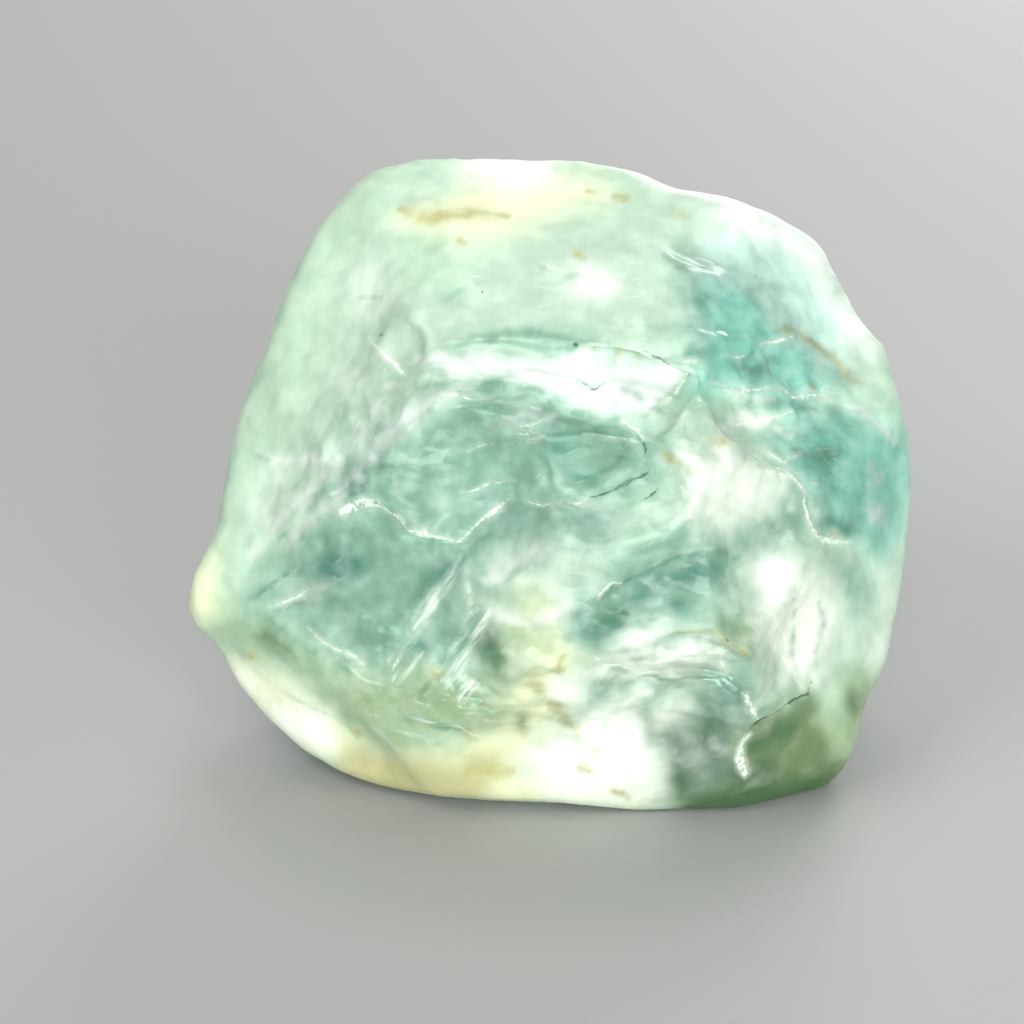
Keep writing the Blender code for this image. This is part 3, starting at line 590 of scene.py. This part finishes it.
SHADES = [  # dark hairlines: painted shade under the edges and steps, and some darker streaks of clear stone
    [(-5.6, 7.3, 0.05), (-4.4, 7.6, 0.12), (-3.3, 7.7, 0.25), (-1.9, 7.85, 0.22), (-0.5, 7.8, 0.25),
     (0.9, 7.5, 0.15), (2.3, 7.3, 0.2), (3.7, 6.95, 0.15), (5.1, 6.5, 0.22), (6.2, 6.15, 0.2),
     (7.0, 5.95, 0.1)],
    [(4.9, 3.1, 0.1), (5.5, 3.9, 0.16), (6.4, 4.8, 0.12), (7.2, 5.5, 0.1)],
    [(2.9, 5.4, 0.05), (2.2, 4.8, 0.12), (1.4, 5.5, 0.05)],
    [(3.7, 4.8, 0.1), (4.4, 4.6, 0.3), (4.9, 4.2, 0.1)],
    [(-1.6, 5.0, 0.1), (-3.6, 5.2, 0.25), (-5.6, 5.3, 0.25), (-7.0, 4.9, 0.1)],
    [(-12.0, -1.2, 0.1), (-11.2, -0.5, 0.3), (-10.2, -0.2, 0.2), (-9.4, 0.4, 0.1)],
    [(-8.0, 0.6, 0.05), (-6.8, 0.2, 0.15), (-5.2, 0.3, 0.05)],
    [(-0.6, 4.1, 0.05), (0.2, 3.6, 0.2), (0.4, 2.2, 0.15), (0.2, 0.8, 0.05)],
    [(-6.0, -4.0, 0.1), (-6.6, -5.4, 0.2), (-7.6, -6.9, 0.1)],
    [(1.2, -7.0, 0.1), (2.2, -6.4, 0.25), (3.6, -6.0, 0.15)],
    [(8.8, -3.9, 0.1), (9.8, -4.2, 0.15), (9.4, -4.8, 0.05)],
    [(9.6, 6.1, 0.05), (11.0, 6.0, 0.2), (12.6, 6.6, 0.1)],
    [(10.4, 4.0, 0.1), (12.4, 4.2, 0.2), (14.6, 3.9, 0.1)],
    [(13.0, 1.6, 0.1), (14.6, 1.2, 0.3), (15.8, 1.6, 0.1)],
    [(6.0, -9.0, 0.05), (7.4, -9.1, 0.12), (9.0, -9.6, 0.05)],
    [(3.0, -9.2, 0.0), (4.6, -8.9, 0.08), (6.4, -8.8, 0.0)],
    [(2.6, -9.9, 0.0), (5.2, -9.4, 0.1), (7.6, -9.7, 0.0)],
    [(5.6, -8.4, 0.0), (7.4, -8.7, 0.05), (8.8, -9.2, 0.0)],
    [(13.0, -6.4, 0.0), (13.4, -8.0, 0.12), (13.2, -9.6, 0.0)],
    [(14.6, -6.6, 0.0), (14.9, -8.0, 0.1), (14.4, -9.4, 0.0)],
    [(2.2, -10.9, 0.1), (4.6, -11.1, 0.2), (7.6, -11.3, 0.1)],
    [(-16.6, -7.0, 0.1), (-14.8, -8.1, 0.15), (-12.8, -9.5, 0.1)],
    [(-8.4, -12.5, 0.05), (-6.4, -13.0, 0.15), (-4.4, -13.8, 0.1)],
]
STAINS = [
    [(-8.3, 14.7, 0.2), (-7.5, 14.4, 0.25), (-6.6, 14.25, 0.35), (-5.2, 14.4, 0.15), (-4.0, 14.6, 0.2),
     (-2.2, 14.4, 0.0)],
    [(-5.0, 13.0, 0.2), (-4.6, 12.7, 0.1)], [(1.9, 15.9, 0.15), (2.7, 15.8, 0.15)],
    [(3.5, 15.6, 0.2), (4.2, 15.4, 0.15)], [(6.6, 15.0, 0.1), (7.6, 14.5, 0.0)],
    [(1.2, 12.1, 0.15), (1.9, 12.0, 0.15)], [(3.4, 6.6, 0.1), (3.9, 6.6, 0.08)],
    [(2.1, 6.9, 0.04), (2.4, 6.9, 0.04)], [(4.3, 6.6, 0.05), (4.5, 6.6, 0.05)],
    [(5.6, 6.3, 0.06), (5.8, 6.2, 0.05)], [(-8.4, 6.3, 0.1), (-8.1, 6.1, 0.05)],
    [(5.8, 1.3, 0.1), (6.1, 1.0, 0.22), (6.6, 0.8, 0.12), (7.2, 0.5, 0.22), (7.5, 0.3, 0.1)],
    [(7.2, 1.9, 0.06), (7.35, 1.7, 0.1)], [(8.3, 2.1, 0.05), (8.9, 1.9, 0.2), (9.6, 1.9, 0.05)],
    [(10.1, 1.1, 0.06), (10.3, 1.1, 0.06)], [(11.0, 0.7, 0.06), (11.2, 0.7, 0.05)],
    [(12.1, 8.1, 0.14), (12.6, 8.1, 0.12), (13.5, 8.0, 0.05), (14.2, 7.6, 0.1), (14.9, 7.1, 0.1),
     (15.8, 6.6, 0.08), (16.2, 6.0, 0.1), (17.5, 5.0, 0.0)],
    [(14.1, 5.1, 0.1), (14.6, 5.1, 0.06)],
    [(6.5, -8.1, 0.1), (7.2, -8.2, 0.2), (8.4, -8.0, 0.05), (9.1, -8.3, 0.1), (9.4, -8.7, 0.2),
     (10.2, -9.4, 0.16), (11.0, -9.3, 0.08)],
    [(0.6, -9.3, 0.15), (0.4, -10.0, 0.2), (-0.2, -10.5, 0.1), (-0.9, -10.7, 0.15), (-1.1, -11.0, 0.25),
     (-0.7, -11.4, 0.28), (-0.3, -11.8, 0.16), (0.1, -12.2, 0.25), (0.5, -12.6, 0.3), (1.0, -13.2, 0.16),
     (1.6, -13.9, 0.05)],
    [(2.4, -14.6, 0.14), (2.5, -15.1, 0.1)], [(1.5, -15.5, 0.18), (2.3, -16.0, 0.12)],
    [(3.3, -16.8, 0.16), (4.4, -17.4, 0.1)], [(-4.6, -15.8, 0.1), (-3.2, -15.9, 0.3), (-2.0, -15.9, 0.2)],
    [(-10.9, -13.5, 0.1), (-10.4, -13.8, 0.3)], [(-6.6, -10.4, 0.2), (-5.9, -10.3, 0.25)],
    [(-16.5, -9.4, 0.15), (-16.4, -9.8, 0.15)], [(-7.0, -3.0, 0.1), (-6.6, -3.0, 0.05)],
    [(15.3, -3.0, 0.1), (15.7, -3.0, 0.06)], [(4.7, -5.8, 0.06), (4.8, -5.7, 0.02)],
    [(-4.7, -13.8, 0.15), (-4.2, -14.0, 0.1)],
]
GLINTS = [  # hairline cleavage traces, painted white as glints: middle, spread, turn, length, count, seed
    ((-2.0, 2.2), (3.6, 1.5), 22.0, 0.9, 30, 1),
    ((0.5, 5.5), (4.5, 1.1), -8.0, 1.2, 26, 2),
    ((-4.5, 5.6), (2.2, 1.2), -5.0, 0.9, 14, 3),
    ((12.4, 4.6), (3.0, 3.2), 4.0, 1.0, 34, 4),
    ((14.6, 0.0), (2.6, 2.2), -30.0, 0.8, 16, 5),
    ((10.5, 8.0), (2.6, 1.0), -10.0, 0.8, 6, 6),
    ((-8.5, -0.4), (2.4, 1.2), -15.0, 0.6, 14, 7),
    ((6.5, -2.4), (4.0, 1.0), 28.0, 0.9, 14, 8),
    ((1.5, -1.2), (2.6, 0.8), 8.0, 0.6, 14, 9),
    ((6.5, -9.4), (2.4, 0.8), -6.0, 1.1, 16, 10),
    ((-5.5, -12.2), (4.4, 1.2), -12.0, 0.9, 20, 11),
    ((3.5, -12.0), (3.0, 1.6), -40.0, 0.8, 16, 12),
    ((-13.6, -5.6), (2.2, 1.6), 38.0, 1.0, 14, 13),
    ((-9.5, 4.5), (1.8, 2.8), 60.0, 0.8, 14, 14),
    ((0.0, 10.2), (6.0, 1.4), 4.0, 1.2, 16, 15),
    ((13.0, -7.0), (2.0, 2.6), 70.0, 0.8, 14, 16),
]
SPECKS = [  # specks of dark mineral
    [(1.3, 7.2, 0.13), (1.3, 7.0, 0.13)], [(-9.3, 7.8, 0.05), (-9.1, 7.8, 0.05)],
    [(-3.8, 10.1, 0.05), (-3.7, 10.15, 0.05)], [(7.3, 1.75, 0.06), (7.35, 1.7, 0.06)],
    [(9.3, -8.4, 0.04), (9.3, -8.55, 0.07), (9.5, -8.8, 0.03)],
]
SKIN = np.array((0.48, 0.67, 0.50))
COATS = [  # painted one over another: shapes, softness, growth, colour
    (PALE, 1.6, 0.0, (0.78, 0.92, 0.78)),
    (MINT, 1.8, 0.0, (0.46, 0.61, 0.49)),
    (RIM, 1.4, 0.0, (0.90, 0.97, 0.90)),
    (CREAM, 1.4, 0.0, (0.78, 0.85, 0.55)),
    (OLIVE, 1.5, 0.0, (0.30, 0.42, 0.23)),
    (HONEY, 1.0, 0.0, (0.52, 0.52, 0.26)),
    (GREY, 1.0, 0.0, (0.18, 0.27, 0.20)),
    (TEAL + AQUA, 2.4, 0.8, (0.43, 0.70, 0.56)),
    (PALE_TEAL, 1.5, 0.0, (0.38, 0.60, 0.49)),
    (TEAL, 0.9, 0.0, (0.45, 0.76, 0.59)),
    (POCKET, 0.9, 0.1, (0.08, 0.26, 0.15)),
    (AQUA, 1.4, 0.0, (0.29, 0.74, 0.60)),
    (AQUA[:1], 1.4, 0.0, (0.36, 0.92, 0.76)),
    (GLOW, 1.2, 0.2, (0.68, 0.98, 0.86)),
    (TOE, 0.5, 0.0, (0.15, 0.23, 0.10)),
    (MOSS, 0.8, 0.0, (0.06, 0.14, 0.05)),
    (SHADOW, 1.1, 0.0, (0.18, 0.46, 0.33)),
    (DEEP, 0.6, 0.1, (0.08, 0.28, 0.21)),
    (WHITE, 1.3, 0.3, (0.89, 0.96, 0.84)),
    (TREAD, 0.45, 0.0, (0.84, 0.91, 0.87)),
]
FAR_TINTS = [  # clouds of the far side: colour, pitch, most
    ((0.34, 0.62, 0.48), 11.0, 0.75),
    ((0.74, 0.80, 0.54), 9.0, 0.4),
    ((0.90, 0.96, 0.89), 7.0, 0.5),
]
VEIL_WHITE = (0.93, 0.98, 0.94)
STREAKS = [  # lines, colour, softness, most
    (SHADES, (0.14, 0.30, 0.20), 0.30, 0.6),
    (VEILS, VEIL_WHITE, 0.45, 0.65),
    (STAINS, (0.44, 0.43, 0.17), 0.28, 0.85),
]
DARK_PATCH = (0.25, 0.50, 0.38)


def painted(under, tint, part):
    """The colours under, with a part of each point covered by a tint."""
    part = part[:, None]
    return under * (1.0 - part) + np.array(tint) * part


tone = np.tile(SKIN, (len(u), 1))
far_side = 1.0 - front
for tint, pitch, most in FAR_TINTS:
    tone = painted(tone, tint, most * far_side * ramp(cloud(pitch, 80.0 + pitch, 2), -0.05, 0.55))
for shapes, soft, grow, tint in COATS:
    tone = painted(tone, tint, inside(shapes, soft, grow))
grain = cloud(0.7, 95.0, 3)
for lines, tint, soft, most in STREAKS:
    side, width = lines_near(lines)
    tone = painted(tone, tint, most * ramp(width - np.abs(side) + 0.25 * grain, -soft, soft))
chalky = np.maximum(inside(WHITE + TREAD, 0.9, 0.3), 0.8 * inside(CREAM, 0.8))
patchy = cloud(1.3, 91.0, 3)
mottle = 0.08 + 0.17 * fresh * front
tone = painted(tone, VEIL_WHITE, mottle * ramp(patchy, -0.3, 1.0))
tone = painted(tone, DARK_PATCH, mottle * (ramp(-patchy, -0.3, 1.0) * (1.0 - 0.5 * chalky)))
clear = np.maximum(inside(TEAL, 1.2, 0.5), 0.7 * inside(PALE_TEAL + AQUA, 0.8)) * (1.0 - chalky)
clear = np.maximum(clear, far_side * ramp(cloud(6.0, 86.0, 3), 0.0, 0.4) * 0.8)
clear *= 1.0 - 0.6 * inside(POCKET + DEEP, 1.0)


def dashes(middle, spread, turn, length, count, seed):
    """Short thin lines that run much the same way, scattered over a patch."""
    rng = np.random.default_rng(seed)
    made = []
    for _ in range(count):
        at = np.array(middle) + rng.normal(0.0, 0.5, 2) * spread
        angle = math.radians(turn + rng.normal(0.0, 9.0))
        half = 0.5 * length * rng.uniform(0.5, 1.5) * np.array((math.cos(angle), math.sin(angle)))
        bow = rng.normal(0.0, 0.08) * np.array((-half[1], half[0]))
        made.append([(*(at - half), 0.0), (*(at + bow), rng.uniform(0.02, 0.06)), (*(at + half), 0.0)])
    return made


def keep(name, values):
    """Stores a value for each point in the mesh, where the material reads it."""
    mesh.attributes.new(name, "FLOAT", "POINT").data.foreach_set("value", values.astype(np.float32))


def keep_lines(name, lines):
    side, width = lines_near(lines, 0.3)
    keep(name, side)
    keep(name + "_width", width)


mesh.attributes.new("tone", "FLOAT_COLOR", "POINT").data.foreach_set(
    "color", np.hstack([tone, np.ones((len(u), 1))]).astype(np.float32).ravel()
)
keep("fresh", fresh)
keep("jagged", jagged)
keep("patchy", patchy)
keep("clear", clear - 0.35 * chalky)
keep("step_rise", step_rise)
keep("step_weight", step_weight)
keep_lines("crack", CRACKS + SPECKS)
keep_lines("vein", VEINS)
keep_lines("glint", [dash for patch in GLINTS for dash in dashes(*patch)])
keep_lines("feather", FEATHERS)


class Wire:
    """One output of a shader node. Arithmetic on it adds Math nodes."""

    tree = None  # the material being made

    def __init__(self, socket):
        self.socket = socket

    @staticmethod
    def node(kind, settings=None, inputs=None, output=0):
        """Adds a node with its settings, and with values or wires on its sockets, and gives one output."""
        made = Wire.tree.nodes.new(kind)
        for name, value in (settings or {}).items():
            setattr(made, name, value)
        for name, value in (inputs or {}).items():
            socket = made.inputs[name]
            if isinstance(value, Wire):
                Wire.tree.links.new(value.socket, socket)
            else:
                socket.default_value = (*value, 1.0) if socket.type == "RGBA" else value
        return Wire(made.outputs[output] if made.outputs else None)

    def math(self, operation, other=0.0, clamp=False):
        return Wire.node("ShaderNodeMath", {"operation": operation, "use_clamp": clamp}, {0: self, 1: other})

    def __add__(self, other):
        return self.math("ADD", other)

    def __radd__(self, other):
        return self.math("ADD", other)

    def __sub__(self, other):
        return self.math("SUBTRACT", other)

    def __rsub__(self, other):
        return Wire.node("ShaderNodeMath", {"operation": "SUBTRACT"}, {0: other, 1: self})

    def __mul__(self, other):
        return self.math("MULTIPLY", other)

    def __rmul__(self, other):
        return self.math("MULTIPLY", other)

    def between(self, low, high):
        """Rises smoothly from 0 at low to 1 at high, or falls where high is the smaller."""
        return Wire.node(
            "ShaderNodeMapRange", {"interpolation_type": "SMOOTHSTEP"},
            {"Value": self, "From Min": low, "From Max": high},
        )

    def vector(self, operation, other, output=0):
        return Wire.node("ShaderNodeVectorMath", {"operation": operation}, {0: self, 1: other}, output)


def kept(name, output="Fac"):
    """Reads what keep() stored."""
    return Wire.node("ShaderNodeAttribute", {"attribute_name": name}, output=output)


def noisy(where, scale, detail, rough):
    cells = {"Vector": where, "Scale": scale, "Detail": detail, "Roughness": rough}
    return Wire.node("ShaderNodeTexNoise", {}, cells, "Fac")


def mixed(factor, a, b):
    """Colour a, going over to colour b as the factor rises. Those are the colour sockets of a Mix node."""
    return Wire.node("ShaderNodeMix", {"data_type": "RGBA"}, {0: factor, 6: a, 7: b}, 2)


def chips(where, scale, slope):
    """Heights of small flat chips, each tilted its own way."""
    tilt = Wire.node("ShaderNodeTexVoronoi", {}, {"Vector": where, "Scale": scale}, "Color")
    middle = Wire(tilt.socket.node.outputs["Position"])
    tilt = tilt.vector("SUBTRACT", (0.5, 0.5, 0.5))
    return slope * where.vector("SUBTRACT", middle).vector("DOT_PRODUCT", tilt, "Value")


IOR = 1.434  # of fluorite
FEATHER_WHITE = (0.94, 1.0, 0.93)
EDGE_WHITE = (0.80, 0.93, 0.78)
SHADE_AT_STEP_FOOT = (0.10, 0.30, 0.22)
IN_CRACK = (0.04, 0.12, 0.08)
ABSORBED_TO = (0.70, 0.92, 0.87)
ABSORPTION = 90.0  # per metre
SCATTER_REACH = 1.8 * MM

material = bpy.data.materials.new("fluorite")
material.use_nodes = True
Wire.tree = material.node_tree
Wire.tree.nodes.clear()
on_stone = Wire.node("ShaderNodeTexCoord", output="Object")
where = Wire.node("ShaderNodeVectorMath", {"operation": "SCALE"}, {0: on_stone, "Scale": 1.0 / MM})
broken = kept("fresh")
patches = kept("patchy")
stretched = where.vector("MULTIPLY", (0.55, 1.0, 1.0))
fine = noisy(stretched, 5.0, 2.0, 0.6)
broken_up = noisy(where, 2.6, 2.0, 0.7).between(0.36, 0.56)
ragged = 0.30 * (fine - 0.5)
rise = kept("step_rise") + 0.4 * ragged
# White along the top edge of each step: partly its crushed white rim, partly a painted highlight.
edge = kept("step_weight") * (rise - 0.07).math("ABSOLUTE").between(0.14, 0.03) * patches.between(-0.2, 0.3)
# Painted shade: a dark line along the foot of each step.
foot = kept("step_weight") * (rise + 0.15).math("ABSOLUTE").between(0.25, 0.05) * patches.between(0.4, -0.2)


def near_lines(name, share):
    """How far inside a set of lines each point is, in millimetres, less than 0 outside them."""
    return kept(name + "_width") - kept(name).math("ABSOLUTE") + share * ragged


crack = near_lines("crack", 1.0).between(-0.04, 0.04)
vein = near_lines("vein", 0.8)
wisps = 0.45 * vein.between(-0.40, 0.10)
vein = vein.between(-0.05, 0.12) * broken_up
# Painted glints along hairline cleavage traces.
glint = near_lines("glint", 0.0).between(-0.06, 0.05) * broken_up
# Feathers are bundles of fine threads that climb to the right.
across = where.vector("DOT_PRODUCT", (2.6, 0.0, -1.5), "Value")
along = where.vector("DOT_PRODUCT", (0.15, 0.0, 0.26), "Value")
threads = noisy(Wire.node("ShaderNodeCombineXYZ", {}, {"X": across, "Y": along}), 1.0, 3.0, 0.6)
feather = near_lines("feather", 1.0).between(-0.42, 0.26) * threads.between(0.38, 0.66)

colour = mixed(0.85 * feather, kept("tone", "Color"), FEATHER_WHITE)
colour = mixed(0.4 * foot, colour, SHADE_AT_STEP_FOOT)
# The white of veins and their wisps, with painted highlights along step edges and painted glints.
bright = (0.45 * edge + wisps + 0.6 * vein + 0.5 * glint).math("MULTIPLY", 0.9, clamp=True)
colour = mixed(bright, colour, EDGE_WHITE)
colour = mixed(0.9 * crack, colour, IN_CRACK)

# Milk is the share of the light that veils and frost scatter. The rest passes into the clear stone.
milk = 0.93 - 0.18 * broken - 0.35 * kept("clear") + 0.12 * patches
milk = (milk + 0.3 * feather + 0.5 * vein + crack).math("ADD", 0.0, clamp=True)
rough = 0.52 - 0.16 * broken + 0.10 * (fine - 0.5)
height = (0.12 + 0.9 * kept("jagged")) * chips(stretched, 1.7, 0.32) - 0.08 * crack
bump = Wire.node("ShaderNodeBump", {}, {"Height": height, "Strength": 1.0, "Distance": MM}, "Normal")
clear_tint = mixed(0.5, colour, (1.0, 1.0, 1.0))
glassy = Wire.node(
    "ShaderNodeBsdfPrincipled", {},
    {"Base Color": clear_tint, "Roughness": 0.15, "IOR": IOR, "Transmission Weight": 1.0, "Normal": bump},
)
milky = Wire.node(
    "ShaderNodeBsdfPrincipled", {"subsurface_method": "BURLEY"},
    {"Base Color": colour, "Roughness": rough, "IOR": IOR, "Subsurface Weight": 0.6,
     "Subsurface Radius": (0.8, 1.0, 0.95), "Subsurface Scale": SCATTER_REACH, "Normal": bump},
)
surface = Wire.node("ShaderNodeMixShader", {}, {0: milk, 1: glassy, 2: milky})
depth = Wire.node("ShaderNodeVolumeAbsorption", {}, {"Color": ABSORBED_TO, "Density": ABSORPTION})
Wire.node("ShaderNodeOutputMaterial", {}, {"Surface": surface, "Volume": depth})
mesh.materials.clear()
mesh.materials.append(material)
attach(stone, "root")
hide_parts("raw_fluorite")

# The studio table: one wide, flat, pale matt sheet that the stone stands on.
TABLE_HALF_WIDTH = 3.0
bm = bmesh.new()
bmesh.ops.create_grid(bm, x_segments=1, y_segments=1, size=TABLE_HALF_WIDTH)
table_mesh = bpy.data.meshes.new("table")
bm.to_mesh(table_mesh)
bm.free()
table = bpy.data.objects.new("table", table_mesh)
scene.collection.objects.link(table)
paper = bpy.data.materials.new("pale_table")
paper.use_nodes = True
sheet = paper.node_tree.nodes["Principled BSDF"]
sheet.inputs["Base Color"].default_value = (0.36, 0.365, 0.36, 1.0)
sheet.inputs["Roughness"].default_value = 0.7
table_mesh.materials.append(paper)

# Soft studio light: a key from the upper left, a softbox overhead, a low light from behind that shines
# through the stone, and a broad fill from the camera's side.
LIGHTS = [  # name, place, width, watts
    ("key", (-0.20, -0.16, 0.28), 0.16, 0.45),
    ("overhead", (0.03, 0.14, 0.36), 0.20, 0.4),
    ("back_light", (0.12, 0.34, 0.10), 0.20, 0.9),
    ("fill", (0.07, -0.34, 0.07), 0.30, 1.8),
]
LIT_POINT = Vector((0.0, 0.0, 0.015))
for name, at, size, power in LIGHTS:
    lamp = bpy.data.lights.new(name, "AREA")
    lamp.size = size
    lamp.energy = power
    holder = bpy.data.objects.new(name, lamp)
    holder.location = at
    holder.rotation_euler = (LIT_POINT - Vector(at)).to_track_quat("-Z", "Y").to_euler()
    scene.collection.objects.link(holder)
world = bpy.data.worlds.new("studio")
scene.world = world
world.use_nodes = True
sky = world.node_tree.nodes["Background"]
sky.inputs["Color"].default_value = (1.0, 1.0, 0.96, 1.0)
sky.inputs["Strength"].default_value = 0.45
scene.view_settings.view_transform = "Standard"
scene.cycles.use_denoising = True
scene.cycles.use_light_tree = False
scene.cycles.max_bounces = 5
scene.cycles.transmission_bounces = 5
scene.cycles.diffuse_bounces = 2
scene.cycles.glossy_bounces = 2
